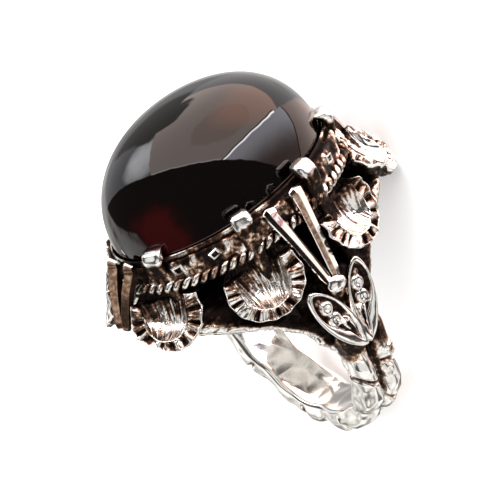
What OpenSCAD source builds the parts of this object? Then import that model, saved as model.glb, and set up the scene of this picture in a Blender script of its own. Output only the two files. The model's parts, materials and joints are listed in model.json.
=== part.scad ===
// Silver ring with a large oval smoky quartz cabochon in a flower setting.
// The ring's own axes: X through the two shoulders, Y along the finger, Z up through the head,
// with zero at the centre of the finger hole. lie_down() then lays it on its side.
// Everything of silver is soldered together, so it is one solid. The stone is the other.

/* [Finger] */
// Radius of the finger hole
finger_r = 8.65; // [8.2:0.05:9.2]

/* [Shank] */
// Thickness of the shank at its two branches
shank_t = 2.2; // [1.8:0.1:2.6]
// Half of the shank's width at the bottom
shank_half_w = 1.95; // [1.6:0.1:2.4]
// Depth of the groove between the two branches
groove_d = 0.5; // [0.2:0.05:0.8]
// Height of the knots along the branches
knot_h = 0.16; // [0:0.02:0.3]

/* [Base plate] */
// Thickness of the plate that bridges the finger
plate_t = 1.1; // [0.8:0.1:1.6]
// Half of the plate's length along the finger
plate_half_l = 9.9; // [9:0.1:10.4]
// Depth of the waves in the plate's edge
plate_wave = 0.22; // [0:0.02:0.4]

/* [Leaves] */
// Half of a leaf's width
leaf_half_w = 1.28; // [1:0.02:1.5]
// Thickness of a leaf at its rim
leaf_t = 0.9; // [0.7:0.05:1.2]
// Depth of the hollow inside a leaf's rim
leaf_hollow = 0.35; // [0.1:0.05:0.45]

/* [Stone] */
// Half of the stone's width, across the finger
stone_a = 7.7; // [7.4:0.05:8]
// Half of the stone's length, along the finger
stone_b = 9.95; // [9.6:0.05:10.1]
// Height of the dome above the girdle
dome_h = 8.15; // [6:0.05:9]
// Fullness of the dome, where 2 is an ellipsoid
dome_n = 2.28; // [2:0.02:3]
// Height of the girdle over the finger's centre
girdle_z = 13.2; // [13:0.05:13.6]
// Gap left between the stone and the metal
stone_gap = 0.12; // [0.1:0.02:0.2]

/* [Bezel] */
// Half of the bezel's width over its wall
bezel_a = 9.05; // [8.8:0.05:9.4]
// Half of the bezel's length over its wall
bezel_b = 10.55; // [10.4:0.05:10.9]
// Height of the bezel's lower edge
bezel_low_z = 11.2; // [11:0.05:11.5]
// Height of the bezel's lip above the girdle
bezel_lip = 0.25; // [0.1:0.05:0.4]
// Thickness of the floor under the stone
floor_t = 0.8; // [0.6:0.1:1]

/* [Rope] */
// Radius over the two twisted wires of the rope
rope_r = 0.62; // [0.5:0.02:0.7]
// Height of the rope's centre line
rope_z = 11.1; // [10.9:0.05:11.3]

/* [Prongs] */
// Width of a prong along the bezel
prong_w = 1.7; // [1.4:0.05:2]
// Thickness of a prong's post
prong_t = 1.15; // [0.9:0.05:1.3]
// Height of the prongs above the girdle
prong_top = 1.05; // [0.8:0.05:1.3]

/* [Petals] */
// Half of a petal's width over its crimped rim
petal_half_w = 3.35; // [2.8:0.05:3.5]
// Half of a petal's height
petal_half_h = 2.85; // [2.5:0.05:3]
// Depth of a petal's cup
cup_d = 1.15; // [0.8:0.05:1.3]
// Number of flutes crimped into a petal's rim
flutes = 16; // [12:1:20]
// Depth of the flutes
flute_d = 0.14; // [0.1:0.02:0.3]

/* [V bars] */
// Width of a polished bar
bar_w = 0.85; // [0.7:0.05:1]
// Thickness of a polished bar
bar_t = 0.9; // [0.7:0.05:1.1]

/* [Rest pose] */
// Turn about the X axis that lays the ring on its side, in degrees
lie_angle = 58.25; // [40:0.05:75]
// Height of the finger hole's centre above the surface
lie_z = 7.03; // [6:0.01:10]
// Shift along the surface that brings the box's middle to zero
lie_y = -5.26; // [-8:0.01:0]

/* [Hidden] */

silver = [0.78, 0.77, 0.75];
dark_silver = [0.62, 0.6, 0.57];
quartz_brown = [0.16, 0.1, 0.07];

// Stations and points of the lofts
shank_steps = 52;
plate_steps = 56;
oval_steps = 48;
rope_sides = 6;
petal_columns = flutes * 2;
leaf_columns = 16;
dome_columns = 40;
dome_rings = 9;

// The band's parts start inside the metal that the finger hole removes
inner_r = finger_r - 0.4;
shank_r = finger_r + shank_t;
plate_r = finger_r + plate_t;
hole_l = 30;
hole_sides = 128;

// Angles are counted from the near shoulder, upwards. Each end runs on under the other part.
shank_end = 12;
plate_end = 14;

// The shank is widest at side_r, and its branches are rounded down by round_d
side_r = finger_r + 0.6;
round_d = 0.45;

// The base plate's outer edges are bevelled by this
plate_bevel = 0.25;

// Half of the base plate's width, by angle above the shoulder
plate_half_w = [
    [-14, 1.9],
    [0, 2.2],
    [12, 3.1],
    [20, 4.2],
    [30, 5.4],
    [42, 8.6],
    [52, plate_half_l],
    [90, plate_half_l - 0.5],
];

// The shoulder under the leaves starts at core_x, inside the base plate.
// Rows: height, half of its width, and how far out it reaches.
core_x = 7.4;
core_rows = [
    [-0.6, 1.3, 10.6],
    [1.5, 1.5, 10.5],
    [3.5, 1.2, 10.3],
    [5.2, 0.75, 10.9],
    [6.1, 0.5, 10.9],
];

// Ends of a leaf, at the shoulder of positive X and on the side of positive Y
leaf_base = [11.15, 0.15, -0.5];
leaf_tip = [10.85, 2.55, 6.3];

// Feet and heads of the V bars at a shoulder and at the two ends of the stone
shoulder_foot = [10.75, 0, 5.9];
shoulder_head = [9.6, 1.4, 13.1];
front_foot = [0, -13.15, 8.85];
front_head = [1.2, -10.75, 13.2];
back_foot = [0, 12, 8.95];
back_head = [1.2, 10.8, 12.7];

// A V bar's top is bent over by hook_in from hook_low under its head, and rises by hook_up.
// Its foot stands off the other bar's by a share of the width.
hook_in = 0.4;
hook_low = 0.2;
hook_up = 0.3;
foot_share = 0.35;

// The rope is sunk this far into the bezel's wall
rope_sink = 0.05;

// Prongs stand on the bezel's wall, beside the V bars, and the far ones sit further round
prongs = [
    [8.64, 3.44],
    [3.83, 9.45],
    [-8.64, 3.44],
    [-7.4, 6.2],
];

// A prong's foot is sunk into the base plate, no further out than prong_inset inside its surface,
// and its section is an eight-sided outline.
// Rows: share of the height, shift outwards, share of the width, share of the thickness.
prong_sink = 0.8;
prong_inset = 0.2;
prong_outline = [[-1, -0.6], [-0.6, -1], [0.6, -1], [1, -0.6], [1, 0.6], [0.6, 1], [-0.6, 1], [-1, 0.6]];
prong_rows = [
    [0, -0.5, 0.75, 1],
    [0.62, -0.3, 0.9, 1],
    [0.86, 0.1, 1, 1],
    [0.97, -0.05, 0.95, 1.05],
    [1, -0.15, 0.7, 0.7],
];

// Petals: X, Y and Z of the middle, the way it faces and its upward lean, in degrees.
// The end petals lean back so that they stay clear of the finger.
petals = [
    [9.5, 4.7, 8.7, 25, 18],
    [9.5, -4.7, 8.7, -25, 18],
    [4.1, 11.1, 9.35, 56, 36],
    [4.1, -11.1, 9.35, -56, 36],
    [-9.5, 4.7, 8.7, 155, 18],
    [-9.5, -4.7, 8.7, 205, 18],
    [-4.1, 11.1, 9.35, 124, 36],
    [-4.7, -10.8, 10, 236, 30],
];

// Rings of a petal from its back over the rim to the cup's bottom: share of its size, height, share of the flutes
petal_rows = [
    [0.62, -1.1, 0],
    [0.97, -0.62, 1],
    [1, 0, 1],
    [0.76, 0.1, 0.4],
    [0.67, 0, 0],
    [0.38, -0.84 * cup_d, 0],
];
petal_wall = 0.75;
// A flute widens the outline by this share of its depth
flute_spread = 0.1;

// The stone's lower edge is bevelled to this share of its size, over this height
stone_foot = 0.97;
stone_bevel = 0.3;

function at_angle(r, a, y) = [r * cos(a), y, r * sin(a)];
function oval(a, b, t, z) = [a * cos(t), b * sin(t), z];
function unit(v) = v / norm(v);

// Faces between rings of n points, each ring turning anticlockwise as seen from the next one
function side_faces(n, rings) = [
    for (i = [0 : rings - 2])
        for (j = [0 : n - 1])
            let (here = i * n, there = here + n, l = (j + 1) % n)
            each [
                [here + j, there + l, here + l],
                [here + j, there + j, there + l]
            ]
];

// A closed solid through rings, with flat ends
module loft(rings) {
    n = len(rings[0]);
    last = (len(rings) - 1) * n;
    caps = [
        [for (j = [0 : n - 1]) j],
        [for (j = [n - 1 : -1 : 0]) last + j]
    ];
    polyhedron(points = [for (r = rings) each r], faces = concat(side_faces(n, len(rings)), caps));
}

// A closed solid through rings that shrink to a point at both ends
module spindle(first, rings, last) {
    n = len(rings[0]);
    m = len(rings);
    start = [for (j = [0 : n - 1]) [m * n, j, (j + 1) % n]];
    end = [for (j = [0 : n - 1]) [m * n + 1, (m - 1) * n + (j + 1) % n, (m - 1) * n + j]];
    points = concat([for (r = rings) each r], [first, last]);
    polyhedron(points = points, faces = concat(side_faces(n, m), start, end));
}

// The same thing at both shoulders and both ends
module both_x() {
    children();
    mirror([1, 0, 0]) children();
}

module both_y() {
    children();
    mirror([0, 1, 0]) children();
}

// A flat bar along a path, as wide as w across the given direction
module flat_bar(path, across, w, t) {
    last = len(path) - 1;
    loft([
        for (i = [0 : last])
            let (
                along = unit(path[min(i + 1, last)] - path[max(i - 1, 0)]),
                side = unit(across - (across * along) * along),
                up = cross(along, side)
            )
            [for (c = [[-1, -1], [1, -1], [1, 1], [-1, 1]]) path[i] + side * c[0] * w / 2 + up * c[1] * t / 2]
    ]);
}

// Height of the knots at an angle of the shank
function knot(a, phase) = knot_h * (sin(9 * a + phase) + 0.6 * sin(17 * a + 2 * phase));

// The shank: two branches side by side with a groove between them
module shank() {
    color(silver)
    loft([
        for (i = [0 : shank_steps])
            let (
                a = shank_end - (180 + 2 * shank_end) * i / shank_steps,
                w = shank_half_w * (1 + 0.05 * pow(cos(a), 2)) + 0.6 * knot(a, 40),
                near = shank_r + knot(a, 0),
                far = shank_r + knot(a, 130)
            )
            [
                at_angle(inner_r, a, -0.9 * w),
                at_angle(inner_r, a, 0.9 * w),
                at_angle(side_r, a, w),
                at_angle(far - round_d, a, 0.9 * w),
                at_angle(far, a, 0.5 * w),
                at_angle(shank_r - groove_d, a, 0.06 * w),
                at_angle(near, a, -0.45 * w),
                at_angle(near - round_d, a, -0.9 * w),
                at_angle(side_r, a, -w)
            ]
    ]);
}

// The base plate: a saddle over the finger, wide under the head and narrow at the shoulders
module base_plate() {
    color(dark_silver)
    loft([
        for (i = [0 : plate_steps])
            let (
                a = -plate_end + (180 + 2 * plate_end) * i / plate_steps,
                up = a < 90 ? a : 180 - a,
                w = lookup(up, plate_half_w) + plate_wave * sin(15 * a)
            )
            [
                at_angle(inner_r, a, w),
                at_angle(inner_r, a, -w),
                at_angle(plate_r - plate_bevel, a, -w),
                at_angle(plate_r, a, plate_bevel - w),
                at_angle(plate_r, a, w - plate_bevel),
                at_angle(plate_r - plate_bevel, a, w)
            ]
    ]);
}

// A leaf: an almond with a raised rim round a hollow
module leaf() {
    along = leaf_tip - leaf_base;
    dir = unit(along);
    out = unit(cross(cross(dir, [1, 0, 0.1]), dir));
    side = cross(dir, out);
    middle = leaf_base + along / 2;
    // A ring at a share of the leaf's size, at a height over its face
    function ring(s, h) = [
        for (j = [0 : leaf_columns - 1])
            let (t = 360 * j / leaf_columns)
            middle - along * 0.5 * s * cos(t) + side * leaf_half_w * s * sin(t) * pow(abs(sin(t)), 0.2) + out * h
    ];
    color(silver)
    spindle(
        middle - out * leaf_t,
        [ring(0.96, -leaf_t), ring(1, -0.2), ring(0.9, 0), ring(0.68, -leaf_hollow)],
        middle - out * leaf_hollow
    );
}

// The shoulder under the leaves, which carries them and the foot of the V
module shoulder_core() {
    color(dark_silver)
    loft([
        for (row = core_rows)
            let (z = row[0], w = row[1], x = row[2])
            [[core_x, -w, z], [x, -w, z], [x, w, z], [core_x, w, z]]
    ]);
}

// A V of two polished bars that lean together on one foot
module v_bars(foot, head, inward, across) {
    color(silver)
    for (s = [-1, 1]) {
        top = [head[0] * (across[0] ? s : 1), head[1] * (across[1] ? s : 1), head[2]];
        low = foot + across * s * bar_w * foot_share;
        flat_bar(
            [low, (low + top) / 2, top - [0, 0, hook_low], top + inward * hook_in + [0, 0, hook_up]],
            across,
            bar_w,
            bar_t
        );
    }
}

// The space for the stone and its gap, from the bezel's floor up
module seat(h) {
    translate([0, 0, bezel_low_z + floor_t])
        scale([(stone_a + stone_gap) / (stone_b + stone_gap), 1, 1])
            cylinder(r = stone_b + stone_gap, h = h, $fn = oval_steps);
}

// The bezel: an oval cup whose wall holds the stone, with a floor under it
module bezel() {
    wall_h = girdle_z + bezel_lip - bezel_low_z;
    color(silver)
    difference() {
        translate([0, 0, bezel_low_z])
            scale([bezel_a / bezel_b, 1, 1])
                cylinder(r = bezel_b, h = wall_h, $fn = oval_steps);
        seat(wall_h);
    }
}

// The rope of two twisted wires under the bezel, as thick as the two together
module rope() {
    color(dark_silver)
    translate([0, 0, rope_z])
        scale([bezel_a / bezel_b, 1, 1])
            rotate_extrude($fn = oval_steps)
                translate([bezel_b - rope_sink, 0])
                    circle(r = rope_r, $fn = rope_sides);
}

// A prong: a post behind its petal, whose head leans over the stone's edge
module prong(place) {
    out = unit([place[0] / pow(bezel_a, 2), place[1] / pow(bezel_b, 2), 0]);
    side = [out[1], -out[0], 0];
    foot_x = min(abs(place[0]), plate_r - prong_inset);
    low = sqrt(pow(plate_r, 2) - pow(foot_x, 2)) - prong_sink;
    high = girdle_z + prong_top;
    color(silver)
    loft([
        for (row = prong_rows)
            [
                for (c = prong_outline)
                    [place[0], place[1], low + (high - low) * row[0]]
                        + out * (row[1] + c[1] * row[3] * prong_t / 2)
                        + side * c[0] * row[2] * prong_w / 2
            ]
    ]);
}

// A petal: a cup that faces outwards, with a flared and crimped rim
module petal() {
    function ring(row) = [
        for (j = [0 : petal_columns - 1])
            let (
                t = 360 * j / petal_columns,
                wave = row[2] * flute_d * cos(flutes * t),
                s = row[0] + flute_spread * wave
            )
            [row[1] + wave, s * petal_half_w * cos(t), s * petal_half_h * sin(t)]
    ];
    color(silver)
    spindle([-petal_wall - cup_d, 0, 0], [for (row = petal_rows) ring(row)], [-cup_d, 0, 0]);
}

// A petal at its place round the head, from a row of the list of petals
module placed_petal(row) {
    translate([row[0], row[1], row[2]])
        rotate([0, -row[4], row[3]])
            petal();
}

// All that is soldered above the shank
module head() {
    bezel();
    rope();
    both_x()
        v_bars(shoulder_foot, shoulder_head, [-1, 0, 0], [0, 1, 0]);
    v_bars(front_foot, front_head, [0, 1, 0], [1, 0, 0]);
    v_bars(back_foot, back_head, [0, -1, 0], [1, 0, 0]);
    // The prongs' posts are cut back where they would stand in the stone's seat, below the girdle
    difference() {
        both_y()
            for (place = prongs)
                prong(place);
        seat(girdle_z - bezel_low_z - floor_t);
    }
    for (row = petals)
        placed_petal(row);
}

// The shoulders: leaves on a core at each side of the finger
module shoulders() {
    both_x() {
        shoulder_core();
        both_y()
            leaf();
    }
}

// The stone: an oval dome on a short straight wall
module cabochon() {
    function ring(s, z) = [
        for (j = [0 : dome_columns - 1])
            oval(stone_a * s, stone_b * s, 360 * j / dome_columns, z)
    ];
    low = bezel_low_z + floor_t + stone_gap;
    color(quartz_brown)
    spindle(
        [0, 0, low],
        concat(
            [ring(stone_foot, low), ring(1, low + stone_bevel)],
            [
                for (i = [0 : dome_rings - 1])
                    let (e = 90 * i / dome_rings, s = pow(cos(e), 2 / dome_n))
                    ring(s, girdle_z + dome_h * pow(sin(e), 2 / dome_n))
            ]
        ),
        [0, 0, girdle_z + dome_h]
    );
}

// The ring lies on its side, on the shank's edge and on the rims of two petals
module lie_down() {
    translate([0, lie_y, lie_z])
        rotate([-lie_angle, 0, 0])
            children();
}

module silver_mount() {
    lie_down()
        difference() {
            // A resize to no new size joins the soldered parts before the hole is cut
            resize([0, 0, 0])
                union() {
                    shank();
                    base_plate();
                    shoulders();
                    head();
                }
            rotate([90, 0, 0])
                cylinder(r = finger_r, h = hole_l, center = true, $fn = hole_sides);
        }
}

module smoky_quartz() {
    lie_down()
        cabochon();
}

silver_mount();
smoky_quartz();
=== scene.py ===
"""The looks of a smoky quartz ring: dark silver worked like bark, leaves and shells round a domed stone."""

import json
import math

import bpy
import numpy as np
from mathutils import Matrix, Vector, noise

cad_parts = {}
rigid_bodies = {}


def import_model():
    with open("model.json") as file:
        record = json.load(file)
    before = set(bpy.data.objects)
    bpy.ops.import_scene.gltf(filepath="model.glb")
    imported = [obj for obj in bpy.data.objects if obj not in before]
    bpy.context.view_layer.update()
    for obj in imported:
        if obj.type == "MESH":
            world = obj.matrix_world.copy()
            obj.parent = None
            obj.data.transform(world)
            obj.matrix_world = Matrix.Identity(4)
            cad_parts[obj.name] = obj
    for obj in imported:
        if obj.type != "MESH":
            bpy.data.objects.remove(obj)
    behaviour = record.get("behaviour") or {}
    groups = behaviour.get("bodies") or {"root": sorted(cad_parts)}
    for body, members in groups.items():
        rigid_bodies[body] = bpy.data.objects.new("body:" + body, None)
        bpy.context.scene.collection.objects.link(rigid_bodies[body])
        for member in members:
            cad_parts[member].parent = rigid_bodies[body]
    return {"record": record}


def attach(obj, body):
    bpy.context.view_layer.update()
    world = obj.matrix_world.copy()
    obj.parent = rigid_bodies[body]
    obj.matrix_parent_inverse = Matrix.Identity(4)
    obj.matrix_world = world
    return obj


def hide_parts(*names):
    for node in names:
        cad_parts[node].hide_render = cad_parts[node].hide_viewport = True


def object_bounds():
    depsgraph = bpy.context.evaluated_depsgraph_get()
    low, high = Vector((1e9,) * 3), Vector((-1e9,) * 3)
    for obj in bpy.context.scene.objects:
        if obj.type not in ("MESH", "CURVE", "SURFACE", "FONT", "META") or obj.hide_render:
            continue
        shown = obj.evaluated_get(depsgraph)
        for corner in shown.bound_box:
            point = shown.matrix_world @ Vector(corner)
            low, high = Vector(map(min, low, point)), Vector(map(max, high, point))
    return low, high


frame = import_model()
cad_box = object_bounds()

# Sizes are in millimetres and places in the ring's own axes: X through the shoulders, Y along the finger,
# Z up through the head, with zero at the centre of the finger hole.
MM = 0.001
HOLE = frame["record"]["mounts"][0]

# Band: the shank ends this far above the shoulders and the base plate this far below them, in degrees
FINGER_R = HOLE["dims"]["r_mm"]
SHANK_R = FINGER_R + 2.2
SHANK_HALF_W = 1.95
SHANK_END = 12
GROOVE_D = 0.62
PLATE_R = FINGER_R + 1.1
PLATE_END = 14
# Half of the base plate's width, by angle above the shoulder
PLATE_HALF_W = [(-14, 1.9), (0, 2.2), (12, 3.1), (20, 4.2), (30, 5.4), (42, 8.6), (52, 9.9), (90, 9.4)]
# Size of the hammer marks on the shank, inside it and on the base plate
SHANK_DENT = 2.1
INSIDE_DENT = 4.2
PLATE_DENT = 1.1
# Notches across a branch of the shank: angle, side in Y, depth, half-width in degrees, skew
NOTCHES = [
    (-22, -1, 0.42, 1.1, 4),
    (-45, 1, 0.3, 1.2, -5),
    (-77, -1, 0.4, 1.2, 3),
    (-105, -1, 0.45, 1.3, -3),
    (-128, 1, 0.35, 1.2, 4),
    (-150, -1, 0.35, 1.3, 5),
    (-17, 1, 0.4, 1.2, -3),
]
# Knobs on the shank by the shoulders: angle, place in Y, radius, height, and depth of the pit in its middle
KNOBS = [
    (-12, 1.45, 0.6, 0.3, 0.45),
    (-23, 0.65, 0.55, 0.28, 0.0),
    (-168, -1.4, 0.6, 0.3, 0.45),
    (-158, -0.7, 0.55, 0.28, 0.0),
]
# Shoulder under the leaves: height, half of its width, and how far out it reaches
SHOULDER = [(-0.6, 1.3, 10.6), (1.5, 1.5, 10.5), (3.5, 1.2, 10.3), (5.2, 0.75, 10.9), (6.1, 0.5, 10.9)]
SHOULDER_INNER_X = 7.6

# Leaves
LEAF_BASE = (11.15, 0.15, -0.5)
LEAF_TIP = (10.85, 2.55, 6.3)
LEAF_HALF_W = 1.28
LEAF_T = 0.9
LEAF_FLOOR_D = 0.44
# Beads in a leaf: place along and across it from its middle, radius, height, and depth of its pit
PEBBLES = [
    (1.35, -0.1, 0.66, 0.44, 0.3),
    (0.15, 0.12, 0.68, 0.38, 0.12),
    (-0.55, -0.3, 0.4, 0.26, 0.0),
    (2.25, 0.0, 0.3, 0.16, 0.0),
]

# Stone, with the middle and radius of the red glow painted in it, which stands in for light coming through it
STONE_A = 7.7
STONE_B = 9.95
DOME_H = 8.15
DOME_N = 2.28
GIRDLE_Z = 13.2
STONE_LOW_Z = 12.12
GLOW_AT = (4.1, -8.0, 15.2)
GLOW_R = 3.2

# Bezel
BEZEL_A = 9.05
BEZEL_B = 10.55
BEZEL_GAP = 0.1
BEZEL_FOOT_Z = 11.25
BEZEL_FLOOR_Z = 12.05
# Raised squares on the bezel's wall: angle, half of the size, turn in degrees, height of its middle
TILES = [
    (-54.6, 0.52, 8, 12.45),
    (-35.7, 0.46, 20, 12.6),
    (36, 0.46, -12, 12.5),
    (57, 0.42, 10, 12.3),
    (124, 0.5, 15, 12.4),
    (146, 0.44, -8, 12.5),
    (216, 0.48, 12, 12.4),
    (238, 0.44, -15, 12.5),
]
# Share of a square's size, height over the wall, and patina, from its foot to its sunk middle
TILE_ROWS = [(1.05, -0.25, 0.9), (1.0, 0.16, 0.1), (0.8, 0.24, 0.1), (0.58, 0.2, 0.1), (0.42, 0.02, 1.0)]

# Rope of two wires
ROPE_Z = 11.1
ROPE_R = 0.54
ROPE_BUMP = 0.8
ROPE_INSET = 0.05

# Prongs: places on the bezel's wall, mirrored in Y
PRONGS = [(8.64, 3.44), (3.83, 9.45), (-8.64, 3.44), (-7.4, 6.2)]
PRONG_W = 1.7
PRONG_T = 1.15
PRONG_TOP = 1.32
PRONG_SINK = 0.8
PRONG_GAP = 0.12

# Petals: the middle, the way it faces and its upward lean in degrees, and the angle, width and height of a
# lobe of the band that is curled up
PETALS = [
    ((9.5, 4.7, 8.7), 25, 18, (28, 20, 0.7)),
    ((9.5, -4.7, 8.7), -25, 18, (150, 16, 0.35)),
    ((4.1, 11.1, 9.35), 56, 36, (205, 18, 0.5)),
    ((4.1, -11.1, 9.35), -56, 36, (148, 16, 0.4)),
    ((-9.5, 4.7, 8.7), 155, 18, (30, 18, 0.6)),
    ((-9.5, -4.7, 8.7), 205, 18, (150, 18, 0.5)),
    ((-4.1, 11.1, 9.35), 124, 36, (30, 16, 0.4)),
    ((-4.7, -10.8, 10), 236, 30, (40, 18, 0.4)),
]
PETAL_HALF_W = 3.35
PETAL_HALF_H = 2.85
PETAL_BACK = -1.75
CUP_D = 1.15
CUP_HALF_W = 2.05
CUP_FOOT = 2.0
# The height above which a petal is open, and how far it lies back there
CUP_TOP = 1.55
CUP_OPEN = 0.8
FLUTES = 14
FLUTE_D = 0.26
# Along a petal's section, from behind it over its band into its cup: share of the cup, share of the band,
# height, share of the flutes, and share of the drop at the open top
PETAL_ROWS = [
    (0.45, 0.45, -1.55, 0, 0.3), (0.65, 0.65, -1.2, 0, 0.5), (0.85, 0.85, -0.9, 0.2, 0.8),
    (0.96, 0.96, -0.55, 0.6, 1), (0.99, 0.99, -0.3, 0.7, 1), (1, 1, -0.1, 0.5, 1), (1, 0.985, 0.02, 0.3, 1),
    (1, 0.93, 0.03, 0.35, 1), (1, 0.87, -0.06, 0.9, 1), (1, 0.7, -0.08, 1, 1), (1, 0.4, -0.06, 1, 1),
    (1, 0.2, -0.02, 0.8, 1), (1, 0.1, 0.03, 0.4, 1), (1, 0.04, 0.1, 0.1, 1), (1, 0, 0.13, 0, 1),
    (0.96, 0, 0.08, 0, 1), (0.9, 0, -0.12, 0, 0.9), (0.8, 0, -0.4, 0, 0.7), (0.6, 0, -0.8, 0, 0.35),
    (0.4, 0, -1.02, 0, 0.1), (0.2, 0, -1.12, 0, 0), (0.05, 0, -CUP_D, 0, 0),
]
# The share of the section that lies behind a petal, and the share at which its cup starts
PETAL_BEHIND = 0.2
PETAL_CUP = 0.64

# V bars: foot, head, the way the top bends in, the way the two spread, and the patina on their wide faces and
# on the narrow facet of the first bar, which paints reflections: black for a dark one on the shoulder bars,
# peach-brown for a warm one on the front and back bars
BAR_W = 1.22
BAR_T = 0.95
BARS = {
    "shoulder_right": ((10.75, 0, 5.9), (9.6, 1.4, 13.1), (-1, 0, 0), (0, 1, 0), -0.2, 3.0),
    "shoulder_left": ((-10.75, 0, 5.9), (-9.6, 1.4, 13.1), (1, 0, 0), (0, 1, 0), -0.2, 3.0),
    "front": ((0, -13.15, 8.85), (1.2, -10.75, 13.2), (0, 1, 0), (1, 0, 0), 0.6, 0.6),
    "back": ((0, 12, 8.95), (1.2, 10.8, 12.7), (0, -1, 0), (1, 0, 0), 0.6, 0.6),
}
# The patina on the narrow facet of the second bar, a painted warm reflection, and how far the ridge of each
# bar lies to one side
SECOND_FACET_PAINTED_REFLECTION = 0.57
FIRST_RIDGE = -0.3
SECOND_RIDGE = -0.2
# Section of a bar: share of half its width, share of half its thickness, which is outwards at the ridge, and
# patina, which on the narrow facet paints a dark reflection, with the rows that make up its ridge, its narrow
# facet and its wide face
BAR_SECTION = [
    (-0.88, -1, 0.9), (0.88, -1, 0.9), (1, -0.85, 0.95), (1, 0.12, 0.95), (0.96, 0.22, -0.2),
    (0.04, 0.98, -0.2), (0, 0.98, -0.2), (-0.04, 0.96, 2.2), (-0.86, 0.42, 2.2), (-0.89, 0.4, -0.1),
    (-1, 0.2, -0.1), (-1, -0.85, 0.6),
]
RIDGE_ROWS = [5, 6, 7]
FACET_ROWS = [7, 8]
FACE_ROWS = [4, 5, 6]

# The bead where two shoulder bars meet
FOOT_BEAD_AT = (10.85, 0, 5.45)
FOOT_BEAD_SIZE = (0.55, 0.9, 0.75)


def ring_to_row():
    """The turn and shift from the ring's own axes to the frame, read from the finger hole's mount."""
    y = -Vector(HOLE["axis"]).normalized()
    x = Vector((1, 0, 0))
    turn = Matrix((x, y, x.cross(y))).transposed()
    return np.array(turn), np.array(HOLE["pos_m"])


TURN, SHIFT = ring_to_row()


def to_row(points):
    return np.asarray(points, float) @ TURN.T * MM + SHIFT


def unit(v):
    v = np.asarray(v, float)
    return v / np.linalg.norm(v)


def smoothstep(x, low, high):
    t = np.clip((x - low) / (high - low), 0, 1)
    return t * t * (3 - 2 * t)


def lumps(points, size, seed=0.0):
    """Smooth noise from -1 to 1, with lumps about as large as size."""
    q = np.asarray(points, float) / size + seed
    flat = [noise.noise(Vector(p)) for p in q.reshape(-1, 3)]
    return np.array(flat).reshape(q.shape[:-1])


def dents(points, size, seed=0.0):
    """Hammer marks: 0 in the middle of a dent and up to about 1 on the ridge between two."""
    q = np.asarray(points, float) / size + seed
    flat = [noise.voronoi(Vector(p))[0][0] for p in q.reshape(-1, 3)]
    return np.array(flat).reshape(q.shape[:-1])


def between(a, b, c, d, f):
    """The place at share f of the way from b to c, on a smooth curve through all four."""
    return 0.5 * (2 * b + (c - a) * f + (2 * a - 5 * b + 4 * c - d) * f**2 + (3 * b - a - 3 * c + d) * f**3)


def closed_curve(points, count):
    """A smooth closed curve of count points through the given ones."""
    p = np.asarray(points, float)
    n = len(p)
    t = np.arange(count) * n / count
    i = t.astype(int)
    return between(p[(i - 1) % n], p[i % n], p[(i + 1) % n], p[(i + 2) % n], (t - i)[:, None])


def open_curve(points, count):
    """A smooth open curve of count points through the given ones."""
    p = np.asarray(points, float)
    p = np.vstack([2 * p[0] - p[1], p, 2 * p[-1] - p[-2]])
    t = np.linspace(0, len(p) - 3 - 1e-9, count)
    i = t.astype(int)
    return between(p[i], p[i + 1], p[i + 2], p[i + 3], (t - i)[:, None])


def angles_round(count):
    """This many angles round a full turn, in radians."""
    return np.arange(count) * 2 * math.pi / count


def loft_faces(rows, cols, looped=False, capped=True):
    """Quads between rows of cols points, each row a closed ring."""
    faces = []
    for i in range(rows if looped else rows - 1):
        k = (i + 1) % rows
        for j in range(cols):
            m = (j + 1) % cols
            faces.append((i * cols + j, i * cols + m, k * cols + m, k * cols + j))
    if capped and not looped:
        faces.append(tuple(range(cols - 1, -1, -1)))
        faces.append(tuple((rows - 1) * cols + j for j in range(cols)))
    return faces


def spindle_faces(rows, cols):
    """Quads between closed rings, with a fan to a first point and to a last point, which follow the rings."""
    faces = loft_faces(rows, cols, capped=False)
    first, last = rows * cols, rows * cols + 1
    for j in range(cols):
        m = (j + 1) % cols
        faces.append((first, m, j))
        faces.append((last, (rows - 1) * cols + j, (rows - 1) * cols + m))
    return faces


def add_piece(name, points, faces, material, dark=None, node="silver_mount", crease=None):
    """A piece from points in ring millimetres, with dark as the share of patina, painted shade and painted
    reflection at each point.
    """
    mesh = bpy.data.meshes.new(name)
    place = to_row(points)
    # Nothing reaches lower than the solids that the ring rests on
    place[:, 2] = np.maximum(place[:, 2], cad_box[0][2])
    mesh.from_pydata(place.tolist(), [], faces)
    mesh.update()
    if dark is not None:
        attribute = mesh.attributes.new("dark", "FLOAT", "POINT")
        attribute.data.foreach_set("value", np.clip(dark, 0, 1).astype(np.float32).ravel())
    mesh.shade_smooth()
    if crease is not None:
        mesh.set_sharp_from_angle(angle=math.radians(crease))
    mesh.materials.append(material)
    piece = bpy.data.objects.new(name, mesh)
    bpy.context.scene.collection.objects.link(piece)
    outward(mesh)
    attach(piece, "root")
    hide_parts(node)


def outward(mesh):
    """Turns a closed mesh inside out where its faces look inwards."""
    co = np.empty(len(mesh.vertices) * 3)
    mesh.vertices.foreach_get("co", co)
    co = co.reshape(-1, 3)
    mesh.calc_loop_triangles()
    tri = np.array([t.vertices[:] for t in mesh.loop_triangles])
    a, b, c = (co[tri[:, k]] - co.mean(0) for k in range(3))
    if np.einsum("ij,ij->i", a, np.cross(b, c)).sum() < 0:
        mesh.flip_normals()


def add_noise(tree, place, **values):
    """A noise node at a place, with some of its inputs set by name."""
    cloud = tree.nodes.new("ShaderNodeTexNoise")
    for key, value in values.items():
        cloud.inputs[key].default_value = value
    tree.links.new(place, cloud.inputs["Vector"])
    return cloud.outputs


def add_range(tree, value, low, high, to_low=0.0, to_high=1.0, smooth=False):
    """Another node's value, with low to high turned into to_low to to_high and held at both ends."""
    share = tree.nodes.new("ShaderNodeMapRange")
    if smooth:
        share.interpolation_type = "SMOOTHSTEP"
    for key, number in (("From Min", low), ("From Max", high), ("To Min", to_low), ("To Max", to_high)):
        share.inputs[key].default_value = number
    tree.links.new(value, share.inputs["Value"])
    return share.outputs["Result"]


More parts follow.
